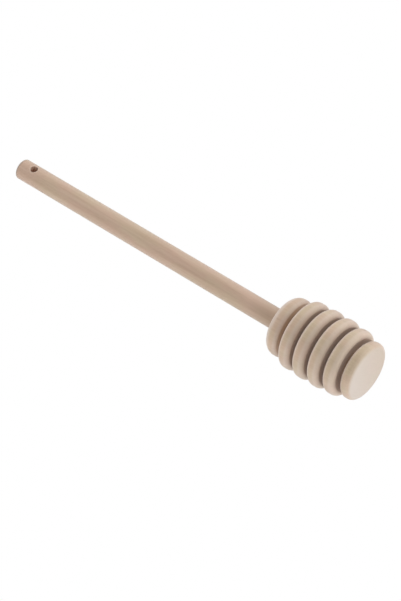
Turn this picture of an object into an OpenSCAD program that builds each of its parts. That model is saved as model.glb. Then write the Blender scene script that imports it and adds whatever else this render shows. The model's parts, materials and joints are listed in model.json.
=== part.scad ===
// Wooden honey dipper, 163 mm long: a turned beech head with five grooves,
// glued on a beech dowel that has a hanging hole through its free end.
// Millimetres. The dipper stands on the end face of its head, as it does in a
// pot of honey. The origin is the middle of that face and the axis is Z.

/* [Handle] */
// Diameter of the dowel
handle_d = 8; // [6:0.5:10]
// Length of the dowel, with the stretch that is glued in the head
handle_l = 145; // [110:1:200]
// Rounding of the edge at the free end
tip_round = 0.9; // [0.3:0.1:1.5]
// Chamfer at the glued end, which leads the dowel into its socket
lead_in = 0.6; // [0.2:0.1:1.2]

/* [Hanging hole] */
// Diameter of the hole
hole_d = 3; // [2:0.1:4]
// Distance from the middle of the hole to the free end of the handle
hole_from_tip = 6.7; // [4:0.1:15]

/* [Head] */
// Diameter of the head at its widest
head_d = 27; // [25:0.5:36]
// Diameter of the disc at the free end of the head
end_disc_d = 22.4; // [20:0.2:26]
// Diameter of the shoulder, which is the ridge at the handle
shoulder_d = 22.8; // [20:0.2:26]
// Distance from the end face to the widest place
widest_at = 20.5; // [15:0.1:22]
// How fast the outline falls away from the widest place: 2 is a plain barrel
crown_power = 3; // [2:0.5:4]
// Rounding of the edge between the end face and the end disc's rim
face_round = 1.9; // [0.5:0.1:2.2]
// Rounding of the shoulder's edge on the handle's side
shoulder_round = 3.5; // [1:0.1:4]

/* [Ridges and grooves] */
// Number of grooves
grooves = 5; // [3:1:7]
// Width of a groove between its flat sides
groove_w = 1.5; // [1:0.1:3]
// Diameter of the wood that is left at the bottom of the grooves
core_d = 15; // [12:0.5:17]
// Thickness of a ridge that has a groove on each side
ridge_t = 5; // [4.2:0.1:7]
// Thickness of the end disc
end_disc_t = 4.5; // [4:0.1:7]
// Thickness of the shoulder
shoulder_t = 6.2; // [5.6:0.1:10]
// Rounding of the ridges' rims
rim_round = 2.05; // [0.5:0.05:2.4]

/* [Glued joint] */
// Depth of the blind socket in the head
socket_depth = 20; // [12:0.5:32]
// Room for glue all round the dowel
glue_gap = 0.1; // [0.05:0.05:0.2]

/* [Hidden] */
$fn = 96;

handle_r = handle_d / 2;
core_r = core_d / 2;
pitch = ridge_t + groove_w;
shoulder_from = end_disc_t + groove_w + (grooves - 1) * pitch;
head_l = shoulder_from + shoulder_t;
overall_l = head_l - socket_depth + handle_l;

// The outline of the head: the radius of the ridge whose rim is at distance u
// from the end face. It falls from the widest place to the two end ridges.
end_disc_mid = end_disc_t / 2;
shoulder_mid = shoulder_from + shoulder_t / 2;
function share_of_fall(u) = u < widest_at ? (widest_at - u) / (widest_at - end_disc_mid)
                                          : (u - widest_at) / (shoulder_mid - widest_at);
function fall(u) = u < widest_at ? (head_d - end_disc_d) / 2 : (head_d - shoulder_d) / 2;
function ridge_radius(u) = head_d / 2 - fall(u) * pow(share_of_fall(u), crown_power);

// Each ridge is [distance from the end face, thickness, front rounding, back rounding]
rim = min(rim_round, ridge_t / 2);
end_disc = [0, end_disc_t, face_round, rim];
middle_ridges = [for (i = [1 : grooves - 1]) [end_disc_t + groove_w + (i - 1) * pitch, ridge_t, rim, rim]];
shoulder = [shoulder_from, shoulder_t, rim, shoulder_round];
ridges = concat([end_disc], middle_ridges, [shoulder]);
function radius_of(ridge) = ridge_radius(ridge[0] + ridge[1] / 2);

// Half section of the dowel, standing on z = 0
module dowel_section() {
    polygon([
        [0, 0],
        [handle_r - lead_in, 0],
        [handle_r, lead_in],
        [handle_r, handle_l - tip_round],
        [0, handle_l - tip_round]
    ]);
    square([handle_r - tip_round, handle_l]);
    translate([handle_r - tip_round, handle_l - tip_round])
        circle(r = tip_round);
}

// Half section of one ridge, a disc with two rounded edges
module ridge_section(ridge) {
    outer = radius_of(ridge);
    front = ridge[2];
    back = ridge[3];
    land = ridge[1] - front - back;
    translate([0, ridge[0]]) {
        square([outer - front, front + land / 2]);
        translate([outer - front, front])
            circle(r = front);
        translate([0, front])
            square([outer, land]);
        translate([0, front + land / 2])
            square([outer - back, back + land / 2]);
        translate([outer - back, front + land])
            circle(r = back);
    }
}

// The hanging hole, drilled along X through the handle near its free end
module hanging_hole() {
    translate([0, 0, overall_l - hole_from_tip])
        rotate([0, 90, 0])
            cylinder(d = hole_d, h = 2 * handle_d, center = true);
}

module handle() {
    color("#BFAA93")
        difference() {
            translate([0, 0, head_l - socket_depth])
                rotate_extrude()
                    dowel_section();
            hanging_hole();
        }
}

module head() {
    color("#CDB9A4")
        difference() {
            rotate_extrude()
                union() {
                    translate([0, end_disc_t / 2])
                        square([core_r, head_l - end_disc_t / 2 - shoulder_t / 2]);
                    for (ridge = ridges)
                        ridge_section(ridge);
                }
            translate([0, 0, head_l - socket_depth])
                cylinder(r = handle_r + glue_gap, h = 2 * socket_depth);
        }
}

handle();
head();
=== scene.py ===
# %% [markdown]
# # A wooden honey dipper
#
# The dipper is two pieces of beech: a slim dowel and a turned head with five grooves. Their
# solids come from the construction model, at their real size and place. This script gives them
# their wood, and sets up the light and the camera of the photograph.

import json
import math

import bpy
from mathutils import Euler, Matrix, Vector


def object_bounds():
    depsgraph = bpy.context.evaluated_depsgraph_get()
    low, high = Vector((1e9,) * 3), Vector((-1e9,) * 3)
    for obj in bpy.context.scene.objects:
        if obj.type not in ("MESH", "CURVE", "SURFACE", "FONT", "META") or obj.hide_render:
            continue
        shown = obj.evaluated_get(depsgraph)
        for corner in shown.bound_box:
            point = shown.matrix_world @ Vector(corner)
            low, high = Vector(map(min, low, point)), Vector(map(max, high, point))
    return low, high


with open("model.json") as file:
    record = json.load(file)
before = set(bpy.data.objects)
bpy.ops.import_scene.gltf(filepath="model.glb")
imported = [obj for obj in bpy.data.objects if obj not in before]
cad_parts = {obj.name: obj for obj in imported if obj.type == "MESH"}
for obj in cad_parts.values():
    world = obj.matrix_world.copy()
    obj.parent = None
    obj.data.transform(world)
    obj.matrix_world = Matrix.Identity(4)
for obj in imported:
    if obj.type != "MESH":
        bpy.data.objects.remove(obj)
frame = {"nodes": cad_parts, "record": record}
construction_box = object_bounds()
print("pieces:", sorted(frame["nodes"]), "box in metres:", construction_box)

# %% [markdown]
# ## Where the patterns sit
#
# The dipper stands on its end face, so its axis is Z, and the grain of both pieces runs along Z.
# Some finishes follow the shape: the grooves are darker, and so is the wall of the hanging hole.
# So the materials need a few sizes. The hole's place and radius come from the record. The
# head's outline can't be read from the record, so its sizes are written here once, as it was
# turned.

# %% Sizes that the materials follow
MM = 0.001
mounts = {mount["name"]: mount for mount in frame["record"]["mounts"]}
hole = mounts["hanging_hole"]
HOLE_HEIGHT = hole["pos_m"][2]
HOLE_RADIUS = hole["dims"]["r_mm"] * MM
OVERALL_LENGTH = construction_box[1][2]

HEAD_LENGTH = 38.2 * MM
HEAD_RADIUS = 13.5 * MM
WIDEST_AT = 20.5 * MM
END_DISC_MID, END_DISC_FALL = 2.25 * MM, 2.3 * MM
SHOULDER_MID, SHOULDER_FALL = 35.1 * MM, 2.1 * MM
CROWN_POWER = 3.0
FIRST_RIDGE_AT, PITCH = 6.0 * MM, 6.5 * MM
print(f"the hanging hole is {HOLE_HEIGHT / MM:.1f} mm above the end face")

# %% [markdown]
# ## Helpers for node trees
#
# A material is a net of small nodes. It could be wired by hand in the shader editor, but code
# is easier to read again and to change. Each helper adds one node and hands back its output,
# so the recipes further down read like sums.

# %% Helpers
# A Mix node keeps sockets for numbers, vectors and colours, so a colour's are found by place.
COLOUR_MIX_SOCKETS = (0, 6, 7)
COLOUR_MIX_RESULT = 2


def add_node(tree, kind, **settings):
    node = tree.nodes.new(kind)
    for name, value in settings.items():
        setattr(node, name, value)
    return node


def feed(tree, socket, value):
    """Links value to the socket if it is an output, or writes it there if it is a plain value."""
    if isinstance(value, bpy.types.NodeSocket):
        tree.links.new(value, socket)
    else:
        socket.default_value = value


def linear(red, green, blue):
    """A colour given as 0 to 255, as a paint program shows it, for a node socket."""
    shares = [channel / 255 for channel in (red, green, blue)]
    return (*(s / 12.92 if s <= 0.04045 else ((s + 0.055) / 1.055) ** 2.4 for s in shares), 1.0)


def calc(tree, operation, first, second=0.0):
    node = add_node(tree, "ShaderNodeMath", operation=operation)
    feed(tree, node.inputs[0], first)
    feed(tree, node.inputs[1], second)
    return node.outputs[0]


def distance(tree, first, second):
    """How far a point is from an axis that it misses by first one way and second the other."""
    squares = [calc(tree, "MULTIPLY", side, side) for side in (first, second)]
    return calc(tree, "SQRT", calc(tree, "ADD", *squares))


def split(tree, point):
    parts = add_node(tree, "ShaderNodeSeparateXYZ")
    feed(tree, parts.inputs["Vector"], point)
    return parts.outputs


def ramp(tree, value, low, high, low_out=0.0, high_out=1.0):
    """Maps low..high onto low_out..high_out, and holds it there outside."""
    node = add_node(tree, "ShaderNodeMapRange")
    given = {"Value": value, "From Min": low, "From Max": high,
             "To Min": low_out, "To Max": high_out}
    for name, setting in given.items():
        feed(tree, node.inputs[name], setting)
    return node.outputs["Result"]


def mix(tree, kind, factor, base, top):
    node = add_node(tree, "ShaderNodeMix", data_type="RGBA", blend_type=kind)
    for place, value in zip(COLOUR_MIX_SOCKETS, (factor, base, top)):
        feed(tree, node.inputs[place], value)
    return node.outputs[COLOUR_MIX_RESULT]


def noise(tree, point, scale, detail, stretch):
    """Noise that is longer along Z by the factor stretch."""
    squeeze = add_node(tree, "ShaderNodeMapping")
    feed(tree, squeeze.inputs["Scale"], (1, 1, 1 / stretch))
    feed(tree, squeeze.inputs["Vector"], point)
    node = add_node(tree, "ShaderNodeTexNoise")
    feed(tree, node.inputs["Vector"], squeeze.outputs["Vector"])
    feed(tree, node.inputs["Scale"], scale)
    feed(tree, node.inputs["Detail"], detail)
    return node.outputs["Fac"]


def new_group(name, inputs, outputs):
    """An empty node group with named sockets, and its inner input and output ends."""
    tree = bpy.data.node_groups.new(name, "ShaderNodeTree")
    for in_out, sockets in (("INPUT", inputs), ("OUTPUT", outputs)):
        for socket, kind in sockets.items():
            tree.interface.new_socket(socket, in_out=in_out, socket_type="NodeSocket" + kind)
    source = add_node(tree, "NodeGroupInput").outputs
    target = add_node(tree, "NodeGroupOutput").inputs
    return tree, source, target


# %% [markdown]
# ## Beech, as a node group
#
# Both pieces are the same pale wood, seen raw and sanded. A photograph of wood could be wrapped
# round them, but it would show a seam, and the same grain on the sides and on the cut ends.
# Noise in space has neither fault: stretched along the axis it looks like fibres on the sides
# and like end grain where the wood is cut across.
#
# Four noises make the wood. Fine fibres and broader streaks blend the pale tone towards the
# dark one. Clouds a few millimetres wide drift between pink and yellowish green, as steamed
# beech does. Short dark flecks tell beech from other pale woods, and stay faint, because the
# piece is sanded. A group is used so that both materials share one recipe.

# %% Build the beech group
FIBRES = {"scale": 1300.0, "detail": 4.0, "stretch": 24.0}
STREAKS = {"scale": 380.0, "detail": 3.0, "stretch": 14.0}
CLOUDS = {"scale": 150.0, "detail": 2.0, "stretch": 1.8}
FLECKS = {"scale": 2200.0, "detail": 2.0, "stretch": 8.0}
FIBRE_RANGE, STREAK_RANGE, FLECK_RANGE = (0.35, 0.7), (0.4, 0.7), (0.64, 0.74)
PINK_TO_GREEN = (0.38, 0.62)
GRAIN_STRENGTH = 0.4
CLOUD_STRENGTH = 0.5
FLECK_STRENGTH = 0.16
PINK_TINT = linear(255, 240, 236)
GREEN_TINT = linear(248, 250, 232)
FLECK_BROWN = linear(140, 108, 84)
ROUGHNESS_RANGE, SMOOTHEST, ROUGHEST = (0.3, 0.7), 0.5, 0.66


def beech_group():
    tree, source, target = new_group(
        "Beech",
        {"Point": "Vector", "Pale": "Color", "Dark": "Color"},
        {"Color": "Color", "Roughness": "Float", "Height": "Float"},
    )
    point = source["Point"]
    fibres = noise(tree, point, **FIBRES)
    streaks = noise(tree, point, **STREAKS)
    clouds = noise(tree, point, **CLOUDS)
    flecks = noise(tree, point, **FLECKS)
    fibre_mask = ramp(tree, fibres, *FIBRE_RANGE, 0.0, GRAIN_STRENGTH)
    streak_mask = ramp(tree, streaks, *STREAK_RANGE, 0.0, GRAIN_STRENGTH)
    fleck_mask = ramp(tree, flecks, *FLECK_RANGE, 0.0, FLECK_STRENGTH)
    wood = mix(tree, "MIX", fibre_mask, source["Pale"], source["Dark"])
    wood = mix(tree, "MIX", streak_mask, wood, source["Dark"])
    tint = mix(tree, "MIX", ramp(tree, clouds, *PINK_TO_GREEN), PINK_TINT, GREEN_TINT)
    wood = mix(tree, "MULTIPLY", CLOUD_STRENGTH, wood, tint)
    wood = mix(tree, "MIX", fleck_mask, wood, FLECK_BROWN)
    feed(tree, target["Color"], wood)
    roughness = ramp(tree, fibres, *ROUGHNESS_RANGE, SMOOTHEST, ROUGHEST)
    feed(tree, target["Roughness"], roughness)
    feed(tree, target["Height"], calc(tree, "SUBTRACT", fibres, fleck_mask))
    return tree


beech = beech_group()
print("the beech group has", len(beech.nodes), "nodes")

# %% [markdown]
# ## The depth below a ridge's rim, as a node group
#
# The wood in the grooves is painted darker than the rest: painted shade, where shade falls deep
# in the narrow grooves. The faces in the grooves could be picked and given a second material, but
# then the dark would stop at a face's edge. So this group works out how deep a point lies below
# the head's own outline, and the painted shade can fade with it. The outline is a barrel that
# falls from its widest place to both ends with the third power of the distance.

# %% Build the depth group
def depth_group():
    tree, source, target = new_group("Groove Depth", {"Point": "Vector"}, {"Depth": "Float"})
    x, y, z = split(tree, source["Point"])
    front = calc(tree, "POWER", ramp(tree, z, END_DISC_MID, WIDEST_AT, 1.0, 0.0), CROWN_POWER)
    back = calc(tree, "POWER", ramp(tree, z, WIDEST_AT, SHOULDER_MID), CROWN_POWER)
    front_fall = calc(tree, "MULTIPLY", front, END_DISC_FALL)
    back_fall = calc(tree, "MULTIPLY", back, SHOULDER_FALL)
    outline = calc(tree, "SUBTRACT", HEAD_RADIUS, calc(tree, "ADD", front_fall, back_fall))
    feed(tree, target["Depth"], calc(tree, "SUBTRACT", outline, distance(tree, x, y)))
    return tree


groove_depth = depth_group()
print("the depth group has", len(groove_depth.nodes), "nodes")

# %% [markdown]
# ## What both materials share
#
# Raw, sanded wood is matt and a little fuzzy. Its loose fibre ends catch the light at grazing
# angles, which makes the silhouettes paler. A Principled BSDF has this as sheen. The fibres
# also stand up by a few hundredths of a millimetre, which is too fine for geometry, so it is
# bump.

# %% Start and finish a beech material
FUZZ = 0.6
BUMP_STRENGTH = 0.3
BUMP_HEIGHT = 0.05 * MM


def beech_material(name, pale, dark):
    material = bpy.data.materials.new(name)
    material.use_nodes = True
    tree = material.node_tree
    point = add_node(tree, "ShaderNodeTexCoord").outputs["Object"]
    grain = add_node(tree, "ShaderNodeGroup", node_tree=beech)
    feed(tree, grain.inputs["Point"], point)
    feed(tree, grain.inputs["Pale"], pale)
    feed(tree, grain.inputs["Dark"], dark)
    return material, tree, point, grain.outputs


def finish_material(tree, grain, colour, height):
    shader = tree.nodes["Principled BSDF"]
    feed(tree, shader.inputs["Base Color"], colour)
    feed(tree, shader.inputs["Roughness"], grain["Roughness"])
    feed(tree, shader.inputs["Sheen Weight"], FUZZ)
    bump = add_node(tree, "ShaderNodeBump")
    feed(tree, bump.inputs["Strength"], BUMP_STRENGTH)
    feed(tree, bump.inputs["Distance"], BUMP_HEIGHT)
    feed(tree, bump.inputs["Height"], height)
    feed(tree, shader.inputs["Normal"], bump.outputs["Normal"])


# %% [markdown]
# ## The handle
#
# The handle is a sanded dowel. It is painted a little darker where it enters the head: painted
# shade, where the head shades it. Round the hanging hole the edge is painted pale, a painted
# highlight where light falls on the rim, and the drilled wall inside is painted browner with its
# depth, as painted shade in the hole. The rounded edge at the free end is end grain, and it is
# painted greyer, while the middle of the end is painted less grey. All of these are masks made
# from places on the object, so each sits on its own feature and fades softly.

# %% The handle's material
HANDLE_PALE, HANDLE_DARK = linear(219, 192, 169), linear(193, 163, 138)
# Painted shade where the handle enters the head.
SHADE_BROWN, SHADE_STRENGTH, SHADE_LENGTH = linear(172, 146, 124), 0.75, 14 * MM
# Painted shade in the hanging hole, browner deeper in.
HOLE_PAINTED_SHADE = linear(190, 150, 124)
WALL_FROM, WALL_TO = HOLE_RADIUS + 0.02 * MM, HOLE_RADIUS + 0.12 * MM
SHADE_FULL_BELOW, SHADE_GONE_ABOVE = 1.8 * MM, 3.3 * MM
# Painted highlight: the hole's rim and the outer part of its wall are painted pale, where light
# falls on them.
HOLE_RIM_HIGHLIGHT, HOLE_RIM_HIGHLIGHT_STRENGTH = linear(226, 200, 180), 0.55
HOLE_RIM_HIGHLIGHT_FROM, HOLE_RIM_HIGHLIGHT_TO = HOLE_RADIUS + 0.25 * MM, HOLE_RADIUS + 0.6 * MM
# The rounded edge of the free end is painted greyer, and the middle of the end less so.
TIP_GREY, TIP_STRENGTH = linear(150, 133, 120), 0.8
TIP_FROM, TIP_TO = OVERALL_LENGTH - 1.2 * MM, OVERALL_LENGTH - 0.5 * MM
TIP_MIDDLE_SHARE, TIP_MIDDLE_TO, TIP_EDGE_FROM = 0.35, 2.6 * MM, 3.3 * MM


def handle_material():
    material, tree, point, grain = beech_material("handle beech", HANDLE_PALE, HANDLE_DARK)
    x, y, z = split(tree, point)
    shade_end = HEAD_LENGTH + SHADE_LENGTH
    # Painted shade next to the head, fading along the handle.
    painted_shade_near_head = ramp(tree, z, HEAD_LENGTH, shade_end, SHADE_STRENGTH, 0.0)
    from_hole = distance(tree, y, calc(tree, "SUBTRACT", z, HOLE_HEIGHT))
    on_wall = ramp(tree, from_hole, WALL_FROM, WALL_TO, 1.0, 0.0)
    from_axis = distance(tree, x, y)
    # Painted shade: the hole's wall is painted browner towards the middle of the handle.
    hole_shade_depth = ramp(tree, from_axis, SHADE_FULL_BELOW, SHADE_GONE_ABOVE, 1.0, 0.0)
    # Painted highlight round the hole's rim.
    painted_rim_highlight = ramp(tree, from_hole, HOLE_RIM_HIGHLIGHT_FROM, HOLE_RIM_HIGHLIGHT_TO, HOLE_RIM_HIGHLIGHT_STRENGTH, 0.0)
    at_tip = ramp(tree, z, TIP_FROM, TIP_TO, 0.0, TIP_STRENGTH)
    on_edge = ramp(tree, from_axis, TIP_MIDDLE_TO, TIP_EDGE_FROM, TIP_MIDDLE_SHARE, 1.0)
    colour = mix(tree, "MIX", painted_shade_near_head, grain["Color"], SHADE_BROWN)
    colour = mix(tree, "MIX", painted_rim_highlight, colour, HOLE_RIM_HIGHLIGHT)
    colour = mix(tree, "MIX", calc(tree, "MULTIPLY", on_wall, hole_shade_depth), colour, HOLE_PAINTED_SHADE)
    colour = mix(tree, "MIX", calc(tree, "MULTIPLY", at_tip, on_edge), colour, TIP_GREY)
    finish_material(tree, grain, colour, grain["Height"])
    return material


# %% [markdown]
# ## The head
#
# The head is turned on a lathe from one blank. The grooves are painted brown from about a
# millimetre and a half below the rims: painted shade, where shade falls in the grooves. The two
# edges of each ridge are painted paler than its middle, as painted highlights where the rounded
# rims catch the light: the remainder of the height divided by the pitch gives the place across a
# ridge, so one mask serves all of them. The end face is end grain sanded flat, and it is painted
# paler, a painted highlight that is stronger on one side. The lathe tool leaves rings about half
# a millimetre apart. They are bump too, being only hundredths of a millimetre deep.

# %% The head's material
HEAD_PALE, HEAD_DARK = linear(222, 198, 173), linear(200, 174, 148)
# Painted shade, deep in the grooves.
GROOVE_PAINTED_SHADE = linear(180, 148, 122)
GROOVE_FROM, GROOVE_TO = 1.45 * MM, 1.95 * MM
FACE_EDGE_FROM, FACE_EDGE_TO = 0.3 * MM, 2.0 * MM
BACK_EDGE_FROM, BACK_EDGE_TO = HEAD_LENGTH - 3.6 * MM, HEAD_LENGTH - 2.0 * MM
# Painted highlights on both rounded edges of each ridge, where they catch the light.
RIDGE_EDGE_HIGHLIGHT = linear(236, 218, 206)
FRONT_HIGHLIGHT_STRENGTH, FRONT_FROM, FRONT_TO = 0.4, 1.4 * MM, 2.2 * MM
BACK_HIGHLIGHT_STRENGTH, BACK_FROM, BACK_TO = 0.5, 3.4 * MM, 4.4 * MM
# Painted highlight on the end face, stronger on one side.
END_FACE_HIGHLIGHT = linear(230, 216, 204)
END_HIGHLIGHT_FROM, END_HIGHLIGHT_TO = 0.05 * MM, 0.7 * MM
LIT_SIDE, LIT_SIDE_STRENGTH = -9 * MM, 0.9
DIM_SIDE, DIM_SIDE_STRENGTH = 9 * MM, 0.45
RINGS_PER_METRE = 1800.0
RING_HEIGHT = 0.25


def head_material():
    material, tree, point, grain = beech_material("head beech", HEAD_PALE, HEAD_DARK)
    depth = add_node(tree, "ShaderNodeGroup", node_tree=groove_depth)
    feed(tree, depth.inputs["Point"], point)
    x, y, z = split(tree, point)

    past_face = ramp(tree, z, FACE_EDGE_FROM, FACE_EDGE_TO)
    before_back = ramp(tree, z, BACK_EDGE_FROM, BACK_EDGE_TO, 1.0, 0.0)
    # Painted shade: the grooves are painted brown from about 1.5 mm below the rims.
    groove_shade = ramp(tree, depth.outputs["Depth"], GROOVE_FROM, GROOVE_TO)
    groove_shade = calc(tree, "MULTIPLY", calc(tree, "MULTIPLY", groove_shade, past_face), before_back)

    across = calc(tree, "FLOORED_MODULO", calc(tree, "SUBTRACT", z, FIRST_RIDGE_AT), PITCH)
    # Painted highlights on each ridge's two edges.
    back_rim_highlight = ramp(tree, across, BACK_FROM, BACK_TO, 0.0, BACK_HIGHLIGHT_STRENGTH)
    front_rim_highlight = ramp(tree, across, FRONT_FROM, FRONT_TO, FRONT_HIGHLIGHT_STRENGTH, 0.0)
    front_rim_highlight = calc(tree, "MULTIPLY", front_rim_highlight, past_face)

    # Painted highlight on the end face, fading from one side to the other.
    at_face = ramp(tree, z, END_HIGHLIGHT_FROM, END_HIGHLIGHT_TO, 1.0, 0.0)
    highlight_falloff = ramp(tree, y, LIT_SIDE, DIM_SIDE, LIT_SIDE_STRENGTH, DIM_SIDE_STRENGTH)

    rim_highlights = calc(tree, "MAXIMUM", back_rim_highlight, front_rim_highlight)
    colour = mix(tree, "MIX", rim_highlights, grain["Color"], RIDGE_EDGE_HIGHLIGHT)
    colour = mix(tree, "MIX", calc(tree, "MULTIPLY", at_face, highlight_falloff), colour, END_FACE_HIGHLIGHT)
    colour = mix(tree, "MIX", groove_shade, colour, GROOVE_PAINTED_SHADE)

    rings = calc(tree, "SINE", calc(tree, "MULTIPLY", z, RINGS_PER_METRE * 2 * math.pi))
    height = calc(tree, "ADD", grain["Height"], calc(tree, "MULTIPLY", rings, RING_HEIGHT))
    finish_material(tree, grain, colour, height)
    return material


# %% Dress the two solids
def dress(node_name, material):
    mesh = frame["nodes"][node_name].data
    mesh.materials.clear()
    mesh.materials.append(material)
    print(node_name, "wears", material.name)


dress("handle", handle_material())
dress("head", head_material())

# %% [markdown]
# ## Camera
#
# The photograph shows the dipper lying down, from the side of its end face, through a long lens:
# its far end is hardly smaller than it should be. Here the dipper stands, so the same view is
# from below the end face. The camera's place, turn and lens were found by laying the model
# over the photograph until their outlines agreed.

# %% The camera
CAMERA_PLACE = (0.75022, -0.47821, -0.37386)
CAMERA_TURN = (134.188, 50.120, 94.728)
LENS_MM = 165.46
SENSOR_MM = 36.0
NEAREST_SEEN = 0.01
turn = Euler([math.radians(angle) for angle in CAMERA_TURN])
bpy.ops.object.camera_add(location=CAMERA_PLACE, rotation=turn)
camera = bpy.context.object
camera.data.lens = LENS_MM
camera.data.sensor_width = SENSOR_MM
camera.data.clip_start = NEAREST_SEEN
bpy.context.scene.camera = camera
bpy.context.scene.view_settings.view_transform = "Standard"
camera_right, camera_up, camera_back = turn.to_matrix().transposed()
print("the camera looks along", -camera_back)

# %% [markdown]
# ## Floor
#
# The floor is a wide pale sheet just under the end face. A plain sheet would hide the dipper
# from a camera below it, and keep the light from the end face. So its material is clear to
# every ray but one that comes from the camera and meets it from above. A view from above still
# shows the floor, with the dipper's shadow.

# %% The floor
FLOOR_SIZE = 6.0
FLOOR_GAP = 0.05 * MM
FLOOR_WHITE = (0.8, 0.8, 0.8, 1)
FLOOR_ROUGHNESS = 0.9
FLOOR_GLOW = 0.25
bpy.ops.object.select_all(action="DESELECT")
bpy.ops.mesh.primitive_plane_add(size=FLOOR_SIZE, location=(0, 0, -FLOOR_GAP))
floor = bpy.context.object
floor.name = "floor"
paper = bpy.data.materials.new("white paper")
paper.use_nodes = True
tree = paper.node_tree
shader = tree.nodes["Principled BSDF"]
feed(tree, shader.inputs["Base Color"], FLOOR_WHITE)
feed(tree, shader.inputs["Roughness"], FLOOR_ROUGHNESS)
feed(tree, shader.inputs["Emission Color"], (1, 1, 1, 1))
feed(tree, shader.inputs["Emission Strength"], FLOOR_GLOW)
rays = add_node(tree, "ShaderNodeLightPath").outputs
from_below = add_node(tree, "ShaderNodeNewGeometry").outputs["Backfacing"]
from_above = calc(tree, "SUBTRACT", 1.0, from_below)
shown = add_node(tree, "ShaderNodeMixShader")
feed(tree, shown.inputs[0], calc(tree, "MULTIPLY", rays["Is Camera Ray"], from_above))
feed(tree, shown.inputs[1], add_node(tree, "ShaderNodeBsdfTransparent").outputs["BSDF"])
feed(tree, shown.inputs[2], shader.outputs["BSDF"])
feed(tree, tree.nodes["Material Output"].inputs["Surface"], shown.outputs["Shader"])
floor.data.materials.append(paper)
print("the floor is", FLOOR_SIZE, "m wide")

# %% [markdown]
# ## Light
#
# The photograph was taken in a light tent: bright all round, and darker on the camera's side.
# So the edges of the round handle are paler than its middle, and the end face, which is turned
# to the side, is the brightest of all. A tent could be modelled as a white box, but a pale
# world and four big soft lamps round the camera's view give the same light with less noise.
# Each lamp is placed along the camera's own right, up and back.

# %% The lamps
LAMP_DISTANCE = 1.2
LAMP_SIZE = 1.0
middle = Vector((0, 0, OVERALL_LENGTH / 2))


def soft_lamp(name, right, up, back, light):
    """A big square lamp. At light 1 a white card that faces it renders white."""
    towards = (camera_right * right + camera_up * up + camera_back * back).normalized()
    bpy.ops.object.light_add(type="AREA", location=middle + towards * LAMP_DISTANCE)
    lamp = bpy.context.object
    lamp.name = name
    lamp.data.size = LAMP_SIZE
    lamp.data.energy = light * (math.pi * LAMP_DISTANCE) ** 2
    lamp.rotation_euler = towards.to_track_quat("Z", "Y").to_euler()
    print(f"{name}: {lamp.data.energy:.1f} W")


soft_lamp("end lamp", right=0.80, up=-0.45, back=0.35, light=0.50)
soft_lamp("upper lamp", right=0.50, up=0.85, back=0.10, light=0.50)
soft_lamp("lower lamp", right=-0.50, up=-0.85, back=0.0, light=0.42)
soft_lamp("far lamp", right=-0.85, up=0.50, back=0.05, light=0.35)

# %% [markdown]
# ## World
#
# The world is the tent's even part. It lights the wood at about a third of full white, but it
# is pure white where the camera or a reflection sees it, as the photograph's background is.

# %% The world
TENT_LIGHT = 0.36
world = bpy.context.scene.world or bpy.data.worlds.new("tent")
bpy.context.scene.world = world
world.use_nodes = True
tree = world.node_tree
sky = tree.nodes["Background"]
feed(tree, sky.inputs["Color"], (1, 1, 1, 1))
rays = add_node(tree, "ShaderNodeLightPath").outputs
seen = calc(tree, "MAXIMUM", rays["Is Camera Ray"], rays["Is Glossy Ray"])
seen = calc(tree, "MAXIMUM", seen, rays["Is Transmission Ray"])
feed(tree, sky.inputs["Strength"], ramp(tree, seen, 0, 1, TENT_LIGHT, 1.0))
print("the tent lights the wood at", TENT_LIGHT)
